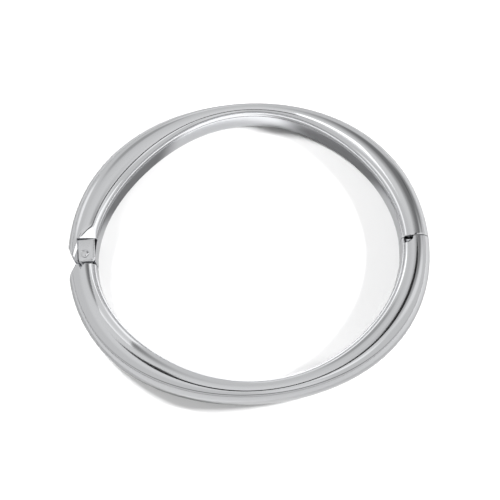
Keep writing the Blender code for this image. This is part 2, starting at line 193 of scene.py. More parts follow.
def signed_volume(points, faces):
    """Six times the volume that the faces close, positive where they face outwards."""
    points = np.asarray(points, float).reshape(-1, 3)
    total = 0.0
    quads = np.array([f for f in faces if len(f) == 4], int)
    if len(quads):
        a, b, c, d = (points[quads[:, i]] for i in range(4))
        total += np.einsum("ij,ij->", a, np.cross(b, c)) + np.einsum("ij,ij->", a, np.cross(c, d))
    for face in (f for f in faces if len(f) != 4):
        p = points[list(face)]
        total += np.einsum("ij,ij->", np.cross(p[1:-1], p[2:]), np.broadcast_to(p[0], p[2:].shape))
    return total


def facing_out(points, faces):
    """The faces, turned round where they close their volume from inside."""
    if signed_volume(points, faces) > 0:
        return faces
    return [face[::-1] for face in faces]


def make_piece(name, body, material, points, faces, uv=None, sharp=30, cuts=()):
    """An object at the origin with its place in its mesh. It rides on the body and stands for the
    CAD node of its own name. Cuts are closed shapes taken out of it."""
    mesh = put_in_mesh(name, points, facing_out(points, faces), uv)
    piece = bpy.data.objects.new(name + "_look", mesh)
    bpy.context.scene.collection.objects.link(piece)
    for number, (cut_points, cut_faces) in enumerate(cuts):
        take_out(piece, f"cut_{number}", cut_points, cut_faces)
    piece.data.shade_smooth()
    piece.data.set_sharp_from_angle(angle=math.radians(sharp))
    piece.data.materials.clear()
    piece.data.materials.append(material)
    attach(piece, body)
    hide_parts(name)


def take_out(piece, name, points, faces):
    """Cuts a closed shape out of a piece and leaves the result as the piece's own mesh."""
    cutter = bpy.data.objects.new(name, put_in_mesh(name, points, facing_out(points, faces)))
    bpy.context.scene.collection.objects.link(cutter)
    boolean = piece.modifiers.new(name, "BOOLEAN")
    boolean.operation = "DIFFERENCE"
    boolean.solver = "EXACT"
    boolean.object = cutter
    graph = bpy.context.evaluated_depsgraph_get()
    result = bpy.data.meshes.new_from_object(piece.evaluated_get(graph))
    piece.modifiers.clear()
    piece.data = result
    bpy.data.objects.remove(cutter)


def strip_faces(index):
    """Quads between neighbouring rows and columns of an index grid."""
    a, b = index[:-1, :-1], index[:-1, 1:]
    c, d = index[1:, 1:], index[1:, :-1]
    return np.stack([a, b, c, d], -1).reshape(-1, 4).tolist()


def grid_index(rows, columns):
    """The numbers of a grid's points, row by row."""
    return np.arange(rows * columns).reshape(rows, columns)


def loft(rings):
    """Rings of equally many points, joined in order, with a flat face on each end ring."""
    rings = np.asarray(rings, float)
    index = grid_index(*rings.shape[:2])
    faces = strip_faces(np.concatenate([index, index[:, :1]], 1))
    faces.append(index[0][::-1].tolist())
    faces.append(index[-1].tolist())
    return rings.reshape(-1, 3), faces


def tube_loft(rings):
    """Rings joined in order, the last to the first, as round a washer."""
    rings = np.asarray(rings, float)
    index = grid_index(*rings.shape[:2])
    index = np.concatenate([index, index[:1]], 0)
    return rings.reshape(-1, 3), strip_faces(np.concatenate([index, index[:, :1]], 1))


def prism(plan, low, high):
    """A plan outline stood up from low to high."""
    plan = np.asarray(plan, float)
    return loft([at_height(plan, z) for z in (low, high)])


def block(left, right, front, back, low, high):
    """A box between those six planes."""
    return prism([(left, front), (right, front), (right, back), (left, back)], low, high)


def at_height(plan, z):
    """A plan outline laid at that height."""
    return np.column_stack([plan, np.full(len(plan), z)])


# ------------------------------------------------------------------ walls of the band

ROUND_STEPS = 4


def even_angles(first, last, count):
    """Angles from first to last whose points are evenly spaced round the section."""
    trial = np.linspace(first, last, TRIAL_POINTS)
    path = section(math.pi / 2, trial, 0.0)
    steps = np.linalg.norm(np.diff(path, axis=0), axis=1)
    along = np.concatenate([[0], np.cumsum(steps)])
    return np.interp(np.linspace(0, along[-1], count), along, trial)


def wall_ring(angles, wall):
    """The closed ring of a wall: its outer skin, a lip, its inner skin and the other lip. Gives
    each point's angle and depth. A lip is a half round, flattened between its two corners."""
    theta = np.linspace(0, math.pi, 2 * ROUND_STEPS + 3)[1:-1]
    depth = wall / 2 - np.cos(theta) * wall / 2
    near_corner = np.clip(np.minimum(depth, wall - depth) / EDGE, 0, 1)
    draw = EDGE * (1 - np.sqrt(1 - (1 - near_corner) ** 2)) / (BAND_HEIGHT / 2)
    swing = EDGE / (BAND_HEIGHT / 2)
    skin = np.clip(angles, angles[0] + swing, angles[-1] - swing)
    around = np.concatenate([skin, angles[-1] - draw, skin[::-1], angles[0] + draw])
    depths = np.concatenate([0 * skin, depth, 0 * skin + wall, depth[::-1]])
    return around, depths, len(theta)


def wall_turns(stages, counts):
    """Rows of turns that run evenly from each stage to the next, with rounding rows at both ends.
    Gives the turns and how far each row's skins draw in."""
    rows = [np.atleast_2d(stages[0])]
    for first, last, count in zip(stages, stages[1:], counts):
        share = np.linspace(0, 1, count + 1)[1:, None]
        rows.append(first + (last - first) * share)
    turns = np.concatenate(rows)
    quarter = np.linspace(0, math.pi / 2, ROUND_STEPS + 1)[:-1, None]
    draw = EDGE * (1 - np.sin(quarter[:, 0]))
    reach = EDGE / OUTER_OUTLINE[1]
    run = EDGE * np.cos(quarter) / OUTER_OUTLINE[1]
    way = np.sign(stages[-1] - stages[0])
    turns[0] += way * reach
    turns[-1] -= way * reach
    head = stages[0] + way * (reach - run)
    tail = (stages[-1] - way * (reach - run))[::-1]
    pulls = np.concatenate([draw, np.zeros(len(turns)), draw[::-1]])
    return np.concatenate([head, turns, tail]), pulls


def band_wall(angles, wall, stages_of, counts, warp=None, shape=None):
    """A closed wall that follows the section over those angles.

    Stages_of(angle, depth) gives the turns that every column passes, from its first end to its
    last. Warp moves the angles at a turn, and shape moves the finished points."""
    around, depths, lip = wall_ring(angles, wall)
    columns = len(angles)
    stages = [np.broadcast_to(stage, around.shape) for stage in stages_of(around, depths)]
    turns, pulls = wall_turns(stages, counts)
    angle = np.broadcast_to(around, turns.shape)
    if warp is not None:
        angle = warp(angle, turns)
    depth = depths[None] + pulls[:, None] * np.sign(wall / 2 - depths)[None]
    points = section(turns, angle, depth)
    if shape is not None:
        points = shape(points, depth)
    rows, count = turns.shape
    index = grid_index(rows, count)
    faces = strip_faces(np.concatenate([index, index[:, :1]], 1))
    faces += end_cap(index[0], columns, lip, True) + end_cap(index[-1], columns, lip, False)
    across = np.linalg.norm(np.diff(points[rows // 2], axis=0), axis=-1)
    around_length = np.concatenate([[0], np.cumsum(across)])
    uv = np.stack([turns * OUTER_OUTLINE[1], np.broadcast_to(around_length, turns.shape)], -1)
    return points.reshape(-1, 3), faces, uv.reshape(-1, 2)


def end_cap(row, columns, lip, flip):
    """Closes a wall's end: a quad from each stretch of outer skin to the inner skin, and one
    face on each lip."""
    outer = row[:columns]
    inner = row[columns + lip:2 * columns + lip][::-1]
    quads = np.stack([outer[:-1], outer[1:], inner[1:], inner[:-1]], -1).tolist()
    quads.append([outer[-1], *row[columns:columns + lip], inner[-1]])
    quads.append([inner[0], *row[2 * columns + lip:], outer[0]])
    quads = [[int(i) for i in quad] for quad in quads]
    return [quad[::-1] for quad in quads] if flip else quads


# ------------------------------------------------------------------ shells and liners

SHELL_LIP = lip_angle(LINER_REACH)
SHELL_COLUMNS = 140
LINER_COLUMNS = 44
REAR_ROWS = (200, 34)        # from stage to stage along the band
FRONT_ROWS = (24, 190, 16)
LINER_ROWS = (230,)
HORN_ANGLE = float(angle_at_x(RECESS_X, HINGE))    # where the leaf's recess cuts the shell
HORN_SLIT = 0.0008           # half the angle between the two columns at an edge of the horn
WARP_NEAR = 4.6 * MM
WARP_FAR = 9.0 * MM
HOLD_Y = 4.35 * MM           # every column still runs level with its neighbours here
CLASP_HOLD_Y = 2 * MM        # and here, at the clasp

# The planed facet behind the top leaf: its height at the recess corner and its two slopes
FACET_HEIGHT = 7.36 * MM
FACET_RISE_BACK = 0.3
FACET_FALL_IN = 0.26
FACET_BLEND = 0.03 * MM
FACET_FADE_NEAR = 8 * MM
FACET_FADE_FAR = 12 * MM

# The pocket in the front half's hinge end and the thumb notch in its clasp end, from above
POCKET_LEFT = -31.75 * MM
POCKET_RIGHT = -30.3 * MM
POCKET_TIP = (-31.45 * MM, -1.95 * MM)
POCKET_FRONT = -0.5 * MM
POCKET_FLOOR = 5.3 * MM
NOTCH_LEFT = 28.98 * MM
NOTCH_RIGHT = 30.65 * MM
NOTCH_WAIST = 29.75 * MM
NOTCH_SHOULDER = -0.55 * MM
NOTCH_END = -1.15 * MM
NOTCH_SLOPE = 0.02 * MM      # its two sides lean by this much


def rear_stages(angle, depth):
    """Clasp seam, a level line behind the hinge, then the recess or the horn's nose."""
    x = section(HINGE, angle, depth)[..., 0]
    end = np.where(np.abs(angle) < HORN_ANGLE, nose(x, REAR_NOSE_LENGTH, 0.0, 1), RECESS_Y)
    return [turn_at(SEAM_GAP, CLASP), turn_for(HOLD_Y, HINGE, angle, depth),
            turn_for(end, HINGE, angle, depth)]


def rear_warp(angle, turn):
    """Leads the columns at the horn's edges straight along the leaf's recess: they turn fully
    at the horn, their neighbours by their share, and all of them fade out away from the hinge."""
    y = np.sin(turn) * OUTER_OUTLINE[1]
    near = np.where(np.cos(turn) < 0, 1 - smooth_step(y, WARP_NEAR, WARP_FAR), 0.0)
    share = np.interp(np.abs(angle), [0, HORN_ANGLE, SHELL_LIP], [0, 1, 0])
    return angle + np.sign(angle) * share * near * (angle_at_x(RECESS_X, turn) - HORN_ANGLE)


def rear_facet(points, depth):
    """Planes the top down to the facet: the softened lesser of the skin's height and a sloping
    plane's, fading out away from the hinge."""
    x, y, z = points[..., 0], points[..., 1], points[..., 2]
    plane = FACET_HEIGHT + FACET_RISE_BACK * (y - RECESS_Y) - FACET_FALL_IN * (x - RECESS_X) - depth
    cut = (z + plane) / 2 - np.sqrt((z - plane) ** 2 / 4 + FACET_BLEND ** 2)
    near = (x < 0) & (z > BAND_HEIGHT / 2)
    fade = 1 - smooth_step(y, FACET_FADE_NEAR, FACET_FADE_FAR)
    lowered = np.where(near, z + (np.minimum(cut + FACET_BLEND ** 2 / MM, z) - z) * fade, z)
    return np.stack([x, y, lowered], -1)


def front_stages(angle, depth):
    """The hinge end with its nose and pocket, two level lines, then the clasp end's notch."""
    at_hinge, at_clasp = section(HINGE, angle, depth), section(CLASP, angle, depth)
    x = at_hinge[..., 0]
    start = nose(x, FRONT_NOSE_LENGTH, -FRONT_SETBACK, -1)
    pocket = np.interp(x, [POCKET_LEFT, POCKET_TIP[0], POCKET_RIGHT],
                       [POCKET_FRONT, POCKET_TIP[1], POCKET_FRONT])
    start = np.where(at_hinge[..., 2] > POCKET_FLOOR, np.minimum(start, pocket), start)
    x = at_clasp[..., 0]
    corners = [NOTCH_LEFT - NOTCH_SLOPE, NOTCH_LEFT, NOTCH_WAIST, NOTCH_RIGHT, NOTCH_RIGHT + NOTCH_SLOPE]
    notch = np.interp(x, corners, [-SEAM_GAP, NOTCH_END, NOTCH_END, NOTCH_SHOULDER, -SEAM_GAP])
    end = np.where(at_clasp[..., 2] > POCKET_FLOOR, notch, -SEAM_GAP)
    return [turn_for(start, HINGE, angle, depth), turn_for(-HOLD_Y, HINGE, angle, depth),
            turn_for(-CLASP_HOLD_Y, 2 * HINGE, angle, depth), turn_for(end, 2 * HINGE, angle, depth)]


def rear_outer_shell(material):
    """The rear half's skin, from the clasp seam to the recess and horn at the hinge."""
    angles = even_angles(-SHELL_LIP, SHELL_LIP, SHELL_COLUMNS)
    beside = [sign * HORN_ANGLE + slit for sign in (-1, 1) for slit in (-HORN_SLIT, HORN_SLIT)]
    angles = np.sort(np.concatenate([angles, beside]))
    points, faces, uv = band_wall(angles, SHELL_WALL, rear_stages, REAR_ROWS, rear_warp, rear_facet)
    make_piece("rear_outer_shell", "rear_half", material, points, faces, uv)


def front_outer_shell(material):
    """The front half's skin, from the nose at the hinge to the notched end at the clasp."""
    angles = even_angles(-SHELL_LIP, SHELL_LIP, SHELL_COLUMNS)
    points, faces, uv = band_wall(angles, SHELL_WALL, front_stages, FRONT_ROWS)
    make_piece("front_outer_shell", "front_half", material, points, faces, uv)


def inner_liner(name, body, first, last, material):
    """The fitted plate against the wrist: the section's inner face, between the shell's lips."""
    lip = lip_angle(LINER_REACH - HAIRLINE / (BAND_HEIGHT / 2))
    angles = even_angles(lip, 2 * math.pi - lip, LINER_COLUMNS)
    points, faces, uv = band_wall(angles, LINER_WALL, lambda angle, depth: [first, last], LINER_ROWS)
    make_piece(name, body, material, points, faces, uv)


# ------------------------------------------------------------------ end fittings

PLUG_POINTS = 96
REAR_BLOCK_RINGS = 40
FRONT_BLOCK_RINGS = 30
CAP_RINGS = 4
NOSE_STEPS = 24
SLOT_BACK = 2.0 * MM
SLOT_RIGHT = -31.0 * MM
CAP_THICK = 0.55 * MM
REAR_BLOCK_DEPTH = 6.0 * MM
FRONT_BLOCK_DEPTH = 3.5 * MM
PLUG_EDGE = 0.05 * MM
FAR = 3 * MM                 # how far a cutter stands past what it cuts


def plug(first, last, stations):
    """The band's inside as a solid: the section, drawn in by the shell's wall and a fit, from
    one turn to another, and drawn in a little more at its two ends."""
    around = np.linspace(0, 2 * math.pi, PLUG_POINTS, endpoint=False)
    inset = SHELL_WALL + FIT
    edge = math.copysign(PLUG_EDGE / OUTER_OUTLINE[1], last - first)
    turns = np.concatenate([[first], np.linspace(first + edge, last - edge, stations), [last]])
    insets = np.concatenate([[inset + PLUG_EDGE], np.full(stations, inset), [inset + PLUG_EDGE]])
    return loft(section(turns[:, None], around[None], insets[:, None]))


def nose_cutter(start_y, length, direction):
    """All that lies outside the rounded nose, from above."""
    depth = np.linspace(0, NOSE_DEPTH, NOSE_STEPS)
    x = -OUTER_OUTLINE[0] + depth
    edge = np.column_stack([x, nose(x, length, start_y, direction)])
    over = start_y - direction * FAR
    rest = [(LEAF_LOW.x, start_y), (LEAF_LOW.x, over), (x[0] - FAR, over), (x[0] - FAR, edge[0, 1])]
    return prism(np.concatenate([edge, rest]), -FAR, BAND_HEIGHT + FAR)


def rear_hinge_block(material):
    """The casting that closes the rear shell: a plug less the leaf's recess, the outside of the
    nose and the knuckle's slot."""
    cuts = [block(RECESS_X, RECESS_X + 2 * FAR, -FAR, RECESS_Y, -FAR, BAND_HEIGHT + FAR),
            nose_cutter(0.0, REAR_NOSE_LENGTH, 1),
            block(RECESS_X - 2 * FAR, SLOT_RIGHT, -FAR, SLOT_BACK, KNUCKLE_LOW.z - FIT, KNUCKLE_HIGH.z + FIT)]
    first, last = turn_at(REAR_BLOCK_DEPTH, HINGE), turn_at(-REAR_OVERRUN, HINGE)
    points, faces = plug(first, last, REAR_BLOCK_RINGS)
    make_piece("rear_hinge_block", "rear_half", material, points, faces, cuts=cuts)


def front_hinge_block(material):
    """The casting that closes the front shell: a plug less the outside of the nose and the small
    pocket before the leaf."""
    pocket = [(POCKET_LEFT, POCKET_FRONT), (POCKET_RIGHT, POCKET_FRONT), POCKET_TIP]
    cuts = [nose_cutter(-FRONT_SETBACK, FRONT_NOSE_LENGTH, -1),
            prism(pocket, POCKET_FLOOR, BAND_HEIGHT + FAR)]
    first = turn_at(-FRONT_SETBACK, HINGE)
    last = turn_at(-FRONT_SETBACK - FRONT_BLOCK_DEPTH, HINGE)
    points, faces = plug(first, last, FRONT_BLOCK_RINGS)
    make_piece("front_hinge_block", "front_half", material, points, faces, cuts=cuts)


def rear_clasp_cap(material):
    """A thin plug at the clasp, slotted for the tongue's fixed leaf."""
    first = turn_at(SEAM_GAP, CLASP)
    points, faces = plug(first, first + CAP_THICK / OUTER_OUTLINE[1], CAP_RINGS)
    slot = block(BASE_LOW.x - FIT, BASE_HIGH.x + FIT, -FAR, FAR, BASE_LOW.z - FIT, BASE_HIGH.z + FIT)
    make_piece("rear_clasp_cap", "rear_half", material, points, faces, cuts=[slot])


def front_clasp_cap(material):
    """A thin plug at the clasp with the tongue's window and, above it, the thumb tab's notch."""
    last = turn_at(-SEAM_GAP, 2 * HINGE)
    points, faces = plug(last - CAP_THICK / OUTER_OUTLINE[1], last, CAP_RINGS)
    low, high = GUIDE_LOW + Vector((1, 0, 1)) * GUIDE_WALL, GUIDE_HIGH - Vector((1, 0, 1)) * GUIDE_WALL
    cuts = [block(low.x, high.x, -FAR, FAR, low.z, high.z),
            block(NOTCH_LEFT, NOTCH_RIGHT, -FAR, FAR, CAP_NOTCH_FLOOR, BAND_HEIGHT + FAR)]
    make_piece("front_clasp_cap", "front_half", material, points, faces, cuts=cuts)


# ------------------------------------------------------------------ hinge hardware

LEAF_CORNER = 0.8 * MM
LEAF_BACK_CORNER = 0.12 * MM
LEAF_EDGE = 0.22 * MM        # the file-broken, buffed edge that catches the light
LEAST_RADIUS = 0.01 * MM
PIN_RUN = 0.04 * MM          # the hole's running clearance
EDGE_STEPS = 5


def rounded_plan(low, high, front_corner, back_corner, inset, per_corner=14, per_side=10):
    """A rectangle from above with rounded corners, all drawn in by inset. Points run round it
    from the front right corner."""
    left, right, front, back = low.x + inset, high.x - inset, low.y + inset, high.y - inset
    corners = ((right, front, -1, 1, front_corner, -math.pi / 2),
               (right, back, -1, -1, back_corner, 0.0),
               (left, back, 1, -1, back_corner, math.pi / 2),
               (left, front, 1, 1, front_corner, math.pi))
    arcs = []
    for x, y, to_x, to_y, corner, first in corners:
        radius = max(corner - inset, LEAST_RADIUS)
        theta = first + np.linspace(0, math.pi / 2, per_corner)
        centre = np.array([x + to_x * radius, y + to_y * radius])
        arcs.append(centre + radius * np.column_stack([np.cos(theta), np.sin(theta)]))
    stretches = []
    for arc, following in zip(arcs, arcs[1:] + arcs[:1]):
        share = np.linspace(0, 1, per_side + 2)[1:-1, None]
        stretches += [arc, arc[-1] + (following[0] - arc[-1]) * share]
    return np.concatenate(stretches)


def pierced_plate(plans, edge, hole_radius):
    """A plate with rounded upper and lower edges and a hole round the pin. Plans are outlines as
    functions of their inset, each with the two heights between which the plate has it, and the
    hole has a point in line with each of the outline's points."""
    quarter = np.linspace(0, math.pi / 2, EDGE_STEPS)
    rings = []
    for plan_of, low, high in plans:
        for theta in quarter:
            inset, rise = edge * (1 - math.sin(theta)), edge * (1 - math.cos(theta))
            rings.append(at_height(plan_of(inset), low + rise))
        for theta in quarter[::-1]:
            inset, rise = edge * (1 - math.sin(theta)), edge * (1 - math.cos(theta))
            rings.append(at_height(plan_of(inset), high - rise))
    low, high = plans[0][1], plans[-1][2]
    away = plans[-1][0](edge) - (PIN_X, PIN_Y)
    away = away / np.linalg.norm(away, axis=1)[:, None]
    chamfer = edge / 3
    hole = ((chamfer, high), (0, high - chamfer), (0, low + chamfer), (chamfer, low))
    rings += [at_height((PIN_X, PIN_Y) + away * (hole_radius + wider), z) for wider, z in hole]
    return tube_loft(rings)


LEAF_SPREAD = 0.45 * MM      # how far a leaf reaches over the liner's edge
SHELF_Z = 5.95 * MM          # above this the liner is out of the leaf's way


def hinge_leaf(name, low, high, material):
    """A plate with a wider layer on the side that shows, which covers the liner's edge."""
    wide = high + Vector((LEAF_SPREAD, 0, 0))

    def narrow_plan(inset):
        return rounded_plan(low, high, LEAF_CORNER, LEAF_BACK_CORNER, inset)

    def wide_plan(inset):
        return rounded_plan(low, wide, LEAF_CORNER, LEAF_BACK_CORNER, inset)

    if high.z > BAND_HEIGHT / 2:
        plans = [(narrow_plan, low.z, SHELF_Z), (wide_plan, SHELF_Z, high.z)]
    else:
        shelf = BAND_HEIGHT - LAND - SHELF_Z
        plans = [(wide_plan, low.z, shelf), (narrow_plan, shelf, high.z)]
    points, faces = pierced_plate(plans, LEAF_EDGE, PIN_RADIUS + PIN_RUN)
    make_piece(name, "rear_half", material, points, faces)


PIN_RADIUS = 0.55 * MM
HEAD_RADIUS = (PIN_HIGH.x - PIN_LOW.x) / 2
HEAD_RISE = 0.22 * MM
HEAD_FLATNESS = 0.8          # the power of the cosine that gives a head's profile
PEEN_WOBBLE = 0.035          # hammered heads are a little out of round
PIN_SIDES = 72
HEAD_STEPS = 9


def hinge_pin(material):
    """A shank between two peened heads: the profile is turned round the axis, and each head's
    radius wavers by a sum of two sines."""
    theta = np.linspace(0, 2 * math.pi, PIN_SIDES, endpoint=False)
    arc = np.linspace(0, math.pi / 2, HEAD_STEPS)
    dome = [(HEAD_RADIUS * math.cos(a) ** HEAD_FLATNESS, HEAD_RISE * math.sin(a)) for a in arc[:-1]]
    low, high = PIN_LOW.z + HEAD_RISE, PIN_HIGH.z - HEAD_RISE
    profile = [(r, low - rise, 1.0) for r, rise in dome[::-1]]
    profile += [(PIN_RADIUS, low, 0.0), (PIN_RADIUS, high, 0.0)]
    profile += [(r, high + rise, 1.0) for r, rise in dome]
    waver = PEEN_WOBBLE * (np.sin(3 * theta + 0.7) + 0.6 * np.sin(5 * theta + 2.1))
    rings = []
    for radius, z, head in profile:
        reach = radius * (1 + head * (waver - PEEN_WOBBLE))
        ring = np.column_stack([PIN_X + reach * np.cos(theta), PIN_Y + reach * np.sin(theta)])
        rings.append(at_height(ring, z))
    points, faces = loft(rings)
    make_piece("hinge_pin", "rear_half", material, points, faces, sharp=50)


KNUCKLE_RADIUS = 1.45 * MM
ARM_HALF = 0.9 * MM
KNUCKLE_EDGE = 0.12 * MM
KNUCKLE_SIDES = 120


def knuckle_plan(inset):
    """A round eye about the pin with a straight arm to the front: at each direction, the farther
    of the circle and the arm's rectangle."""
    theta = np.linspace(-math.pi / 2, 1.5 * math.pi, KNUCKLE_SIDES, endpoint=False)
    c, s = np.cos(theta), np.sin(theta)
    reach_side = (ARM_HALF - inset) / np.maximum(np.abs(c), 1e-6)
    reach_front = (PIN_Y - KNUCKLE_LOW.y - inset) / np.maximum(-s, 1e-6)
    arm = np.where(s < 0, np.minimum(reach_side, reach_front), 0.0)
    reach = np.maximum(KNUCKLE_RADIUS - inset, arm)
    return np.column_stack([PIN_X + reach * c, PIN_Y + reach * s])


def hinge_knuckle(material):
    """The eye between the two leaves, pierced for the pin, with its arm to the front half."""
    plans = [(knuckle_plan, KNUCKLE_LOW.z, KNUCKLE_HIGH.z)]
    points, faces = pierced_plate(plans, KNUCKLE_EDGE, PIN_RADIUS + PIN_RUN)
    make_piece("hinge_knuckle", "front_half", material, points, faces)


# ------------------------------------------------------------------ clasp

GUIDE_WALL = 0.25 * MM
GUIDE_CORNER = 0.3 * MM
GUIDE_CORNER_LOSS = 0.6      # how much of the wall the inner corner's radius loses
CAP_NOTCH_FLOOR = 3.9 * MM
SPRING_THICK = 0.35 * MM
FOLD_Y = -5.0 * MM
FOLD_Z = 2.95 * MM
FOLD_HEEL = 0.25 * MM
FOLD_ROUND = 0.4             # share of the heel added to the fold's radius
CURL_SHORT = 0.3             # the fold stops this far short of a half turn, in radians
SPRING_FREE_Y = -0.3 * MM
SPRING_FREE_Z = 4.45 * MM
STRIP_EDGE = 0.06 * MM
STRIP_CORNER = 0.1 * MM
TAB_LEAN = 0.3 * MM


def side_loft(profile_of, left, right, edge):
    """A side profile (y and z) carried across in x, its two ends' edges rounded by drawing the
    profile in."""
    quarter = np.linspace(0, math.pi / 2, EDGE_STEPS)
    steps = [(left + edge * (1 - math.cos(a)), edge * (1 - math.sin(a))) for a in quarter]
    steps += [(right - edge * (1 - math.cos(a)), edge * (1 - math.sin(a))) for a in quarter[::-1]]
    rings = []
    for x, inset in steps:
        profile = np.asarray(profile_of(inset), float)
        rings.append(np.column_stack([np.full(len(profile), x), profile]))
    return loft(rings)


def soft_box_profile(front, back, low, high, corner):
    """A rectangle in y and z with rounded corners, as a function of its inset."""
    def profile(inset):
        plan_low = Vector((front, low, 0))
        plan_high = Vector((back, high, 0))
        return rounded_plan(plan_low, plan_high, corner, corner, inset, 6, 2)
    return profile


def tongue_base_leaf(material):
    """The tongue's fixed half: a flat strip that runs forward from the rear cap."""
    profile = soft_box_profile(BASE_LOW.y, BASE_HIGH.y, BASE_LOW.z, BASE_HIGH.z, STRIP_CORNER)
    points, faces = side_loft(profile, BASE_LOW.x, BASE_HIGH.x, STRIP_EDGE)
    make_piece("tongue_base_leaf", "rear_half", material, points, faces)


def spring_profile(inset):
    """A strip that leaves the fold's round and rises straight to its free end, with a rounded
    tip: the strip's centre line, and half its thickness to each side."""
    rise = math.atan2(SPRING_FREE_Z - FOLD_Z, SPRING_FREE_Y - FOLD_Y)
    along = np.array([math.cos(rise), math.sin(rise)])
    up = np.array([-math.sin(rise), math.cos(rise)])
    fold, free = np.array([FOLD_Y, FOLD_Z]), np.array([SPRING_FREE_Y, SPRING_FREE_Z])
    half = SPRING_THICK / 2
    bend = half + FOLD_HEEL * FOLD_ROUND
    start = fold + along * FOLD_HEEL + up * bend
    tip = free + up * half - along * half
    straight = start + (tip - start) * np.linspace(0, 1, 12)[:, None]
    theta = np.linspace(rise + math.pi / 2, rise + 1.5 * math.pi - CURL_SHORT, 12)
    curl = fold + bend * np.column_stack([np.cos(theta), np.sin(theta)])
    line = np.concatenate([curl[::-1], straight])
    step = np.gradient(line, axis=0)
    normal = np.column_stack([-step[:, 1], step[:, 0]]) / np.linalg.norm(step, axis=1)[:, None]
    reach = half - inset
    ends = np.linspace(math.pi / 2, -math.pi / 2, 7)[1:-1]
    cap = tip + reach * (np.cos(ends)[:, None] * along + np.sin(ends)[:, None] * up)
    return np.concatenate([line + normal * reach, cap, (line - normal * reach)[::-1]])


def tongue_spring_leaf(material):
    """The tongue's springing half: its side profile carried across in x."""
    points, faces = side_loft(spring_profile, SPRING_LOW.x, SPRING_HIGH.x, STRIP_EDGE)
    make_piece("tongue_spring_leaf", "latch_spring", material, points, faces)


def thumb_tab(material):
    """The lug that the thumb presses: a rounded slip of metal whose top falls to the front, by
    the eighth power of the height times how far forward a point is."""
    def profile(inset):
        shape = soft_box_profile(TAB_LOW.y, TAB_HIGH.y, TAB_LOW.z, TAB_HIGH.z, STRIP_CORNER)(inset)
        height = (shape[:, 1] - TAB_LOW.z) / (TAB_HIGH.z - TAB_LOW.z)
        forward = (TAB_HIGH.y - shape[:, 0]) / (TAB_HIGH.y - TAB_LOW.y)
        shape[:, 1] -= TAB_LEAN * height ** 8 * forward
        return shape

    points, faces = side_loft(profile, TAB_LOW.x, TAB_HIGH.x, STRIP_EDGE)
    make_piece("thumb_tab", "latch_spring", material, points, faces)


def clasp_guide_box(material):
    """An open square tube: two rounded outlines, one inside the other, carried along y."""
    def tube_ring(y, inset, wall):
        low = Vector((GUIDE_LOW.x + wall, GUIDE_LOW.z + wall, 0))
        high = Vector((GUIDE_HIGH.x - wall, GUIDE_HIGH.z - wall, 0))
        corner = GUIDE_CORNER - wall * GUIDE_CORNER_LOSS
        plan = rounded_plan(low, high, corner, corner, inset, 6, 4)
        return np.column_stack([plan[:, 0], np.full(len(plan), y), plan[:, 1]])

    front, back, edge = GUIDE_LOW.y, GUIDE_HIGH.y, STRIP_EDGE
    outside = ((front, edge), (front + edge, 0.0), (back - edge, 0.0), (back, edge))
    rings = [tube_ring(y, inset, 0.0) for y, inset in outside]
    rings += [tube_ring(y, 0.0, GUIDE_WALL) for y in (back, front)]
    points, faces = tube_loft(rings)
    make_piece("clasp_guide_box", "front_half", material, points, faces)


# ------------------------------------------------------------------ finishes

LINE_ALONG = 0.035           # a buffing line's changes to the millimetre, lengthwise
SWELL_ALONG = 0.06           # the skin's swells to the millimetre, lengthwise
SWELL_ACROSS = 0.35


def linear(hex_colour):
    """Linear RGBA from an sRGB hex value."""
    parts = [int(hex_colour[i:i + 2], 16) / 255 for i in (0, 2, 4)]
    return [c / 12.92 if c < 0.04045 else ((c + 0.055) / 1.055) ** 2.4 for c in parts] + [1.0]


def add(tree, kind, settings=None, links=None):
    """Adds a node, sets its inputs or properties by name and links its inputs by name."""
    node = tree.nodes.new(kind)
    for name, value in (settings or {}).items():
        if isinstance(name, int) or name in node.inputs:
            node.inputs[name].default_value = value
        else:
            setattr(node, name, value)
    for name, output in (links or {}).items():
        tree.links.new(output, node.inputs[name])
    return node


def plated_metal(name, hex_colour, roughness, spread, lines_per_mm, drag, wave_depth, on_skin):
    """White metal, cast or drawn, then buffed and plated.

    Two patterns: a fine drag of buffing lines that runs the piece's length, which softens the
    reflections across it, and a slow unevenness of the buffed skin, which bends them a little.
    Roughness wanders by spread between them."""
    material = bpy.data.materials.new(name)
    material.use_nodes = True
    tree = material.node_tree
    shader = tree.nodes["Principled BSDF"]
    shader.inputs["Base Color"].default_value = linear(hex_colour)
    shader.inputs["Metallic"].default_value = 1.0
    place = add(tree, "ShaderNodeTexCoord").outputs["UV" if on_skin else "Object"]
    per_mm = 1 / MM
    stretch = (per_mm * LINE_ALONG, per_mm * lines_per_mm, per_mm * lines_per_mm)
    lines = add(tree, "ShaderNodeMapping", {"Scale": stretch}, {"Vector": place})
    drawn = add(tree, "ShaderNodeTexNoise", {"Scale": 1.0, "Detail": 4.0, "Roughness": 0.6},
                {"Vector": lines.outputs["Vector"]})
    stretch = (per_mm * SWELL_ALONG, per_mm * SWELL_ACROSS, per_mm * SWELL_ACROSS)
    slow = add(tree, "ShaderNodeMapping", {"Scale": stretch}, {"Vector": place})
    swell = add(tree, "ShaderNodeTexNoise", {"Scale": 1.0, "Detail": 1.5, "Roughness": 0.4},
                {"Vector": slow.outputs["Vector"]})
    wander = {"From Min": 0.3, "From Max": 0.7, "To Min": roughness - spread, "To Max": roughness + spread}
    rough = add(tree, "ShaderNodeMapRange", wander, {"Value": drawn.outputs["Fac"]})
    tree.links.new(rough.outputs["Result"], shader.inputs["Roughness"])
    uneven = add(tree, "ShaderNodeBump", {"Strength": 1.0, "Distance": wave_depth},
                 {"Height": swell.outputs["Fac"]})
    scored = add(tree, "ShaderNodeBump", {"Strength": 1.0, "Distance": drag},
                 {"Height": drawn.outputs["Fac"], "Normal": uneven.outputs["Normal"]})
    tree.links.new(scored.outputs["Normal"], shader.inputs["Normal"])
    return material


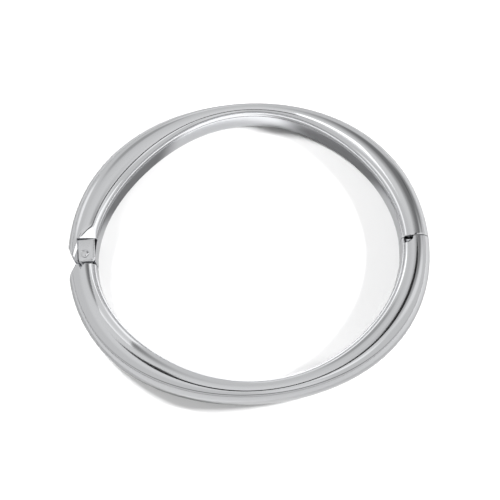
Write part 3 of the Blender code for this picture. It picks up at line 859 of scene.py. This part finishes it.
def build_pieces():
    """The six finishes and the sixteen pieces that wear them. Buffing, file and mill lines are
    really some 20 to the millimetre, too fine to show, so they are drawn at 1.6 to 3.5."""
    # High-speed buffed rhodium plate over a silver shell: a near mirror with soft-edged
    # reflections and faint lengthwise drag.
    shell = plated_metal("buffed_rhodium_plate", "D9DADC", roughness=0.085, spread=0.035, lines_per_mm=1.6,
                         drag=0.0022 * MM, wave_depth=0.006 * MM, on_skin=True)
    # The liner is rolled plate, polished before it went in: a touch duller than the shell.
    liner = plated_metal("rolled_liner_plate", "D2D3D6", roughness=0.11, spread=0.04, lines_per_mm=1.9,
                         drag=0.003 * MM, wave_depth=0.006 * MM, on_skin=True)
    # Cast end fittings, tumbled and only hand finished: soft, broad reflections.
    fitting = plated_metal("tumbled_cast_fitting", "C9CACD", roughness=0.2, spread=0.05, lines_per_mm=2.5,
                           drag=0.004 * MM, wave_depth=0.008 * MM, on_skin=False)
    # Filed and buffed hinge plates: bright flats with broken edges.
    leaf = plated_metal("filed_hinge_plate", "DCDDDF", roughness=0.16, spread=0.05, lines_per_mm=3.0,
                        drag=0.004 * MM, wave_depth=0.01 * MM, on_skin=False)
    # The pin's heads are hammered over, so their surface is slightly dimpled.
    pin = plated_metal("peened_silver_wire", "DBDCDE", roughness=0.17, spread=0.05, lines_per_mm=2.0,
                       drag=0.01 * MM, wave_depth=0.02 * MM, on_skin=False)
    # Hard-rolled spring strip keeps its mill lines.
    spring = plated_metal("hard_rolled_strip", "CFD0D3", roughness=0.2, spread=0.06, lines_per_mm=3.5,
                          drag=0.006 * MM, wave_depth=0.006 * MM, on_skin=False)
    rear_outer_shell(shell)
    front_outer_shell(shell)
    first, last = turn_at(SEAM_GAP, CLASP), turn_at(-REAR_OVERRUN, HINGE)
    inner_liner("rear_inner_liner", "rear_half", first, last, liner)
    first, last = turn_at(-FRONT_SETBACK, HINGE), turn_at(-SEAM_GAP, 2 * HINGE)
    inner_liner("front_inner_liner", "front_half", first, last, liner)
    rear_hinge_block(fitting)
    front_hinge_block(fitting)
    rear_clasp_cap(fitting)
    front_clasp_cap(fitting)
    clasp_guide_box(fitting)
    hinge_leaf("hinge_top_leaf", LEAF_LOW, LEAF_HIGH, leaf)
    hinge_leaf("hinge_bottom_leaf", LOWER_LEAF_LOW, LOWER_LEAF_HIGH, leaf)
    hinge_pin(pin)
    hinge_knuckle(leaf)
    tongue_base_leaf(spring)
    tongue_spring_leaf(spring)
    thumb_tab(leaf)


# ------------------------------------------------------------------ studio

CAMERA_ELEVATION = math.radians(72.38)
CAMERA_YAW = math.radians(4.35)
CAMERA_DISTANCE = 229.7 * MM
CAMERA_LENS = 86.4
CAMERA_SHIFT = (0.0018, 0.0176)
CAMERA_NEAR = 10 * MM

# The sheet of card under the bangle. The metal sees it greyer than a camera does, and greyer
# still outside the bangle.
SHEET_RADII = (20, 60, 150, 350, 700)  # in mm
SHEET_SIDES = 96
SHEET_DROP = 0.02 * MM
CARD_TONE = "E4E4E4"
INSIDE_IN_METAL = "C8C8C8"
OUTSIDE_IN_METAL = "9C9C9C"
RING_INSIDE = 24 * MM
RING_OUTSIDE = 36 * MM
# The deep shade that the metal sees at the foot of the two rear walls: x, y and radius in mm,
# and the share of the light that it takes.
DEEP_SHADE = ((-14.5, 10, 13, 0.66), (13.5, 13, 13, 0.64))
SHADE_CORE = 0.7             # share of the radius within which a shade is deepest

# Soft windows and darker flags on the studio's dome. Each has the azimuth of its middle (0 is
# behind the bangle, 90 to its right), its elevation, its half width and half height in degrees,
# how soft its edge is as a share of that, and how much brighter than the dome it is.
DOME_LEVEL = 0.72
DOME_ON_CARD = 0.3           # how much of the dome lights the card
DOME_TO_CAMERA = 1.0
WINDOWS = {
    "overhead_glow": (180, 86, 24, 24, 0.9, 0.15),
    "rear_left_box": (-50, 26, 9, 12, 0.8, 0.45),
    "rear_low_box": (-5, 20, 10, 7, 0.8, 0.3),
    "right_low_box": (84, 50, 9, 16, 0.8, 0.25),
    "rear_right_flag": (40, 54, 14, 20, 0.7, -0.5),
    "right_low_flag": (56, 27, 12, 15, 0.7, -0.4),
    "rear_left_flag": (-20, 42, 8, 14, 0.8, -0.28),
    "front_low_flag": (180, 18, 65, 6, 0.6, -0.42),
    "front_glow": (165, 40, 10, 16, 0.9, 0.2),
    "front_right_box": (126, 66, 8, 8, 0.8, 0.35),
}

# Lamps, with places, aims and sizes in mm. The strips are small lit cards close to the bangle
# that show white in the metal: width, height and brightness. The panels light the sheet and
# give the bangle its soft shadows, and the spot thins the shadow outside the front half.
STRIPS = {
    "front_left_card": ((-17.5, 1.5, 23.5), (-29.5, -10, 7), 8, 26, 0.6),
    "rear_right_card": ((14, 22, 38), (25, 18, 7), 13, 13, 0.9),
    "clasp_side_card": ((8, 7, 19), (28.5, -11.5, 6.5), 6, 7, 0.6),
}
PANELS = {"left_panel": ((-115, 80, 190), 0.64), "right_panel": ((204, -20, 160), 1.25)}
PANEL_SIZE = 45 * MM
SPOT_PLACE, SPOT_AIM = (-95, -90, 110), (-31, -34, 0)
SPOT_ANGLE = math.radians(38)
SPOT_RADIUS = 12 * MM
SPOT_POWER = 0.4

RIBBON_WIDTH = 23 * MM
RIBBON_HEIGHT = 219 * MM
RIBBON_FIRST, RIBBON_LAST = -0.7, 0.88
RIBBON_STEPS = 81
WIDE_STRETCH = 0.2           # how far along the ribbon its extra width reaches
# The ribbon's colour is painted shade: a black that stands in for the unlit gap and the camera's dark
# opening.
GAP_SHADE_COLOUR = "202020"


def place_camera():
    """Looks at the seam's middle from the front, high up and a little to the left."""
    data = bpy.data.cameras.new("camera")
    data.lens = CAMERA_LENS
    data.shift_x, data.shift_y = CAMERA_SHIFT
    data.clip_start = CAMERA_NEAR
    camera = bpy.data.objects.new("camera", data)
    bpy.context.scene.collection.objects.link(camera)
    flat = math.cos(CAMERA_ELEVATION)
    back = Vector((-flat * math.sin(CAMERA_YAW), -flat * math.cos(CAMERA_YAW), math.sin(CAMERA_ELEVATION)))
    camera.location = Vector((0, SEAM_Y, 0)) + back * CAMERA_DISTANCE
    camera.rotation_euler = (math.pi / 2 - CAMERA_ELEVATION, 0, -CAMERA_YAW)
    bpy.context.scene.camera = camera


def lay_floor():
    """A round flat sheet: circles of growing radius, a hair below the bangle."""
    theta = np.linspace(0, 2 * math.pi, SHEET_SIDES, endpoint=False)
    radii = np.array(SHEET_RADII)[:, None] * MM
    level = np.full((len(SHEET_RADII), SHEET_SIDES), -SHEET_DROP)
    points = np.stack([radii * np.cos(theta), radii * np.sin(theta), level], -1)
    index = grid_index(len(SHEET_RADII), SHEET_SIDES)
    faces = strip_faces(np.concatenate([index, index[:, :1]], 1)) + [index[0][::-1].tolist()]
    floor = bpy.data.objects.new("pale_floor", put_in_mesh("pale_floor", points, [f[::-1] for f in faces]))
    bpy.context.scene.collection.objects.link(floor)
    floor.data.materials.append(white_card())


def white_card():
    """Matt white card: an even pale ground that takes soft shadows."""
    material = bpy.data.materials.new("matt_white_card")
    material.use_nodes = True
    tree = material.node_tree
    tree.nodes.clear()
    path = add(tree, "ShaderNodeLightPath")
    tone = add(tree, "ShaderNodeMix", {"data_type": "RGBA"},
               {0: path.outputs["Is Glossy Ray"], 7: card_seen_by_metal(tree)})
    tone.inputs[6].default_value = linear(CARD_TONE)
    card = add(tree, "ShaderNodeBsdfDiffuse", {}, {"Color": tone.outputs[2]})
    # From below the sheet is clear, so that the underside can be looked at.
    below = add(tree, "ShaderNodeNewGeometry").outputs["Backfacing"]
    clear = add(tree, "ShaderNodeBsdfTransparent").outputs["BSDF"]
    sheet = add(tree, "ShaderNodeMixShader", {}, {0: below, 1: card.outputs["BSDF"], 2: clear})
    add(tree, "ShaderNodeOutputMaterial", {}, {"Surface": sheet.outputs["Shader"]})
    return material


def card_seen_by_metal(tree):
    """The card's colour in reflections: one grey within the bangle and a darker one outside it,
    with two deep shades multiplied in."""
    place = add(tree, "ShaderNodeTexCoord").outputs["Object"]
    reach = add(tree, "ShaderNodeVectorMath", {"operation": "LENGTH"}, {0: place}).outputs["Value"]
    ring = {"interpolation_type": "SMOOTHSTEP", "From Min": RING_INSIDE, "From Max": RING_OUTSIDE}
    beyond = add(tree, "ShaderNodeMapRange", ring, {"Value": reach})
    seen = add(tree, "ShaderNodeMix", {"data_type": "RGBA"}, {0: beyond.outputs["Result"]})
    seen.inputs[6].default_value = linear(INSIDE_IN_METAL)
    seen.inputs[7].default_value = linear(OUTSIDE_IN_METAL)
    level = seen.outputs[2]
    for x, y, radius, depth in DEEP_SHADE:
        middle = Vector((x, y, 0)) * MM
        away = add(tree, "ShaderNodeVectorMath", {"operation": "DISTANCE", 1: middle}, {0: place})
        spread = {"interpolation_type": "SMOOTHSTEP", "From Min": SHADE_CORE * radius * MM,
                  "From Max": radius * MM, "To Min": 1 - depth, "To Max": 1.0}
        shade = add(tree, "ShaderNodeMapRange", spread, {"Value": away.outputs["Value"]})
        dimmed = add(tree, "ShaderNodeMix", {"data_type": "RGBA", "blend_type": "MULTIPLY", 0: 1.0},
                     {6: level, 7: shade.outputs["Result"]})
        level = dimmed.outputs[2]
    return level


def toward_sky(azimuth, elevation):
    """The unit vector to that azimuth and elevation, in degrees."""
    a, e = math.radians(azimuth), math.radians(elevation)
    return Vector((math.sin(a) * math.cos(e), math.cos(a) * math.cos(e), math.sin(e)))


def off_middle(tree, toward, axis, half_angle):
    """How far a direction lies from a window's middle along one axis, in half widths, squared."""
    share = add(tree, "ShaderNodeVectorMath", {"operation": "DOT_PRODUCT", 1: axis}, {0: toward})
    in_half_widths = 1 / math.sin(math.radians(half_angle))
    scaled = add(tree, "ShaderNodeMath", {"operation": "MULTIPLY", 1: in_half_widths},
                 {0: share.outputs["Value"]})
    size = add(tree, "ShaderNodeMath", {"operation": "ABSOLUTE"}, {0: scaled.outputs[0]})
    squared = add(tree, "ShaderNodeMath", {"operation": "POWER", 1: 2.0}, {0: size.outputs[0]})
    return squared.outputs[0]


def light_dome():
    """An even level with each window added: a smooth step down across the edge of its ellipse,
    on its own side of the sky. The card gets less of the dome, and a camera sees plain white."""
    world = bpy.data.worlds.new("studio")
    bpy.context.scene.world = world
    world.use_nodes = True
    tree = world.node_tree
    tree.nodes.clear()
    toward = add(tree, "ShaderNodeTexCoord").outputs["Generated"]
    base = add(tree, "ShaderNodeValue")
    base.outputs[0].default_value = DOME_LEVEL
    level = base.outputs[0]
    for name, (azimuth, elevation, half_width, half_height, soft, extra) in WINDOWS.items():
        middle = toward_sky(azimuth, elevation)
        right = Vector((middle.y, -middle.x, 0)).normalized()
        up = right.cross(middle)
        sideways = off_middle(tree, toward, right, half_width)
        upright = off_middle(tree, toward, up, half_height)
        reach = add(tree, "ShaderNodeMath", {"operation": "ADD"}, {0: sideways, 1: upright})
        edge = {"interpolation_type": "SMOOTHSTEP", "From Min": 1 + soft, "From Max": 1 - soft,
                "To Min": 0.0, "To Max": extra}
        inside = add(tree, "ShaderNodeMapRange", edge, {"Value": reach.outputs[0]})
        ahead = add(tree, "ShaderNodeVectorMath", {"operation": "DOT_PRODUCT", 1: middle}, {0: toward})
        front = add(tree, "ShaderNodeMath", {"operation": "GREATER_THAN", 1: 0.0},
                    {0: ahead.outputs["Value"]})
        lit = add(tree, "ShaderNodeMath", {"operation": "MULTIPLY", "label": name},
                  {0: inside.outputs["Result"], 1: front.outputs[0]})
        level = add(tree, "ShaderNodeMath", {"operation": "ADD"}, {0: lit.outputs[0], 1: level}).outputs[0]
    path = add(tree, "ShaderNodeLightPath")
    matt = add(tree, "ShaderNodeMix", {}, {0: path.outputs["Is Diffuse Ray"], 2: level})
    matt.inputs[3].default_value = DOME_ON_CARD
    strength = add(tree, "ShaderNodeMix", {}, {0: path.outputs["Is Camera Ray"], 2: matt.outputs[0]})
    strength.inputs[3].default_value = DOME_TO_CAMERA
    dome = add(tree, "ShaderNodeBackground", {"Color": (1, 1, 1, 1)}, {"Strength": strength.outputs[0]})
    add(tree, "ShaderNodeOutputWorld", {}, {"Surface": dome.outputs["Background"]})


def hang_lamp(name, kind, place, aim):
    """A lamp at its place, turned to its aim. No camera sees it."""
    lamp = bpy.data.objects.new(name, bpy.data.lights.new(name, kind))
    bpy.context.scene.collection.objects.link(lamp)
    lamp.location = Vector(place) * MM
    lamp.rotation_euler = (Vector(aim) - Vector(place)).to_track_quat("-Z", "Y").to_euler()
    lamp.visible_camera = False
    return lamp


def hang_lamps():
    """The strips, which only the metal sees, and the panels and the spot, which it does not."""
    for name, (place, aim, width, height, brightness) in STRIPS.items():
        strip = hang_lamp(name, "AREA", place, aim)
        strip.data.shape = "RECTANGLE"
        strip.data.size = width * MM
        strip.data.size_y = height * MM
        strip.data.energy = brightness * math.pi * strip.data.size * strip.data.size_y
        strip.visible_diffuse = False
    for name, (place, power) in PANELS.items():
        panel = hang_lamp(name, "AREA", place, (0, 0, 0))
        panel.data.size = PANEL_SIZE
        panel.data.energy = power
        panel.visible_glossy = False
    spot = hang_lamp("front_left_spot", "SPOT", SPOT_PLACE, SPOT_AIM)
    spot.data.spot_size = SPOT_ANGLE
    spot.data.spot_blend = 1.0
    spot.data.shadow_soft_size = SPOT_RADIUS
    spot.data.energy = SPOT_POWER
    spot.visible_glossy = False


def hang_ribbon():
    """The dark opening that the camera looks through, and the gap that runs back from it on each
    side between the overhead panels: a flat ribbon along y = 185 |u|^1.5 - 45 u^6 - 70 and
    x = 7.5 - 12.5 (1 - |u|)^2 + 49.5 sin(1.96 u) + 45 u^6, in millimetres. It is twice as wide
    at u = 0. Only the metal's reflections see it."""
    u = np.linspace(RIBBON_FIRST, RIBBON_LAST, RIBBON_STEPS)
    x = 7.5 - 12.5 * (1 - np.abs(u)) ** 2 + 49.5 * np.sin(1.96 * u) + 45 * u ** 6
    y = 185 * np.abs(u) ** 1.5 - 45 * u ** 6 - 70
    line = np.column_stack([x, y]) * MM
    step = np.gradient(line, axis=0)
    aside = np.column_stack([-step[:, 1], step[:, 0]]) / np.linalg.norm(step, axis=1)[:, None]
    half_width = RIBBON_WIDTH / 2 * (1 + np.exp(-(u / WIDE_STRETCH) ** 2))[:, None]
    rows = [at_height(line + aside * side * half_width, RIBBON_HEIGHT) for side in (-1, 1)]
    mesh = put_in_mesh("dark_ribbon", np.stack(rows), strip_faces(grid_index(2, len(u))))
    # The ribbon wears painted shade: a black sheet in place of the unlit gap, which only reflections see.
    mesh.materials.append(painted_gap_shade())
    ribbon = bpy.data.objects.new("dark_ribbon", mesh)
    bpy.context.scene.collection.objects.link(ribbon)
    ribbon.visible_camera = False
    ribbon.visible_diffuse = False
    ribbon.visible_shadow = False


def painted_gap_shade():
    """A black sheet with no shine at all, seen only in reflections: painted shade that stands in for the
    unlit gap between the overhead panels and the camera's dark opening.
    """
    material = bpy.data.materials.new("painted_gap_shade")
    material.use_nodes = True
    shader = material.node_tree.nodes["Principled BSDF"]
    shader.inputs["Base Color"].default_value = linear(GAP_SHADE_COLOUR)
    shader.inputs["Specular IOR Level"].default_value = 0.0
    return material


# ------------------------------------------------------------------ everything together

place_camera()
build_pieces()
lay_floor()
light_dome()
hang_lamps()
hang_ribbon()
bpy.context.scene.view_settings.view_transform = "Standard"
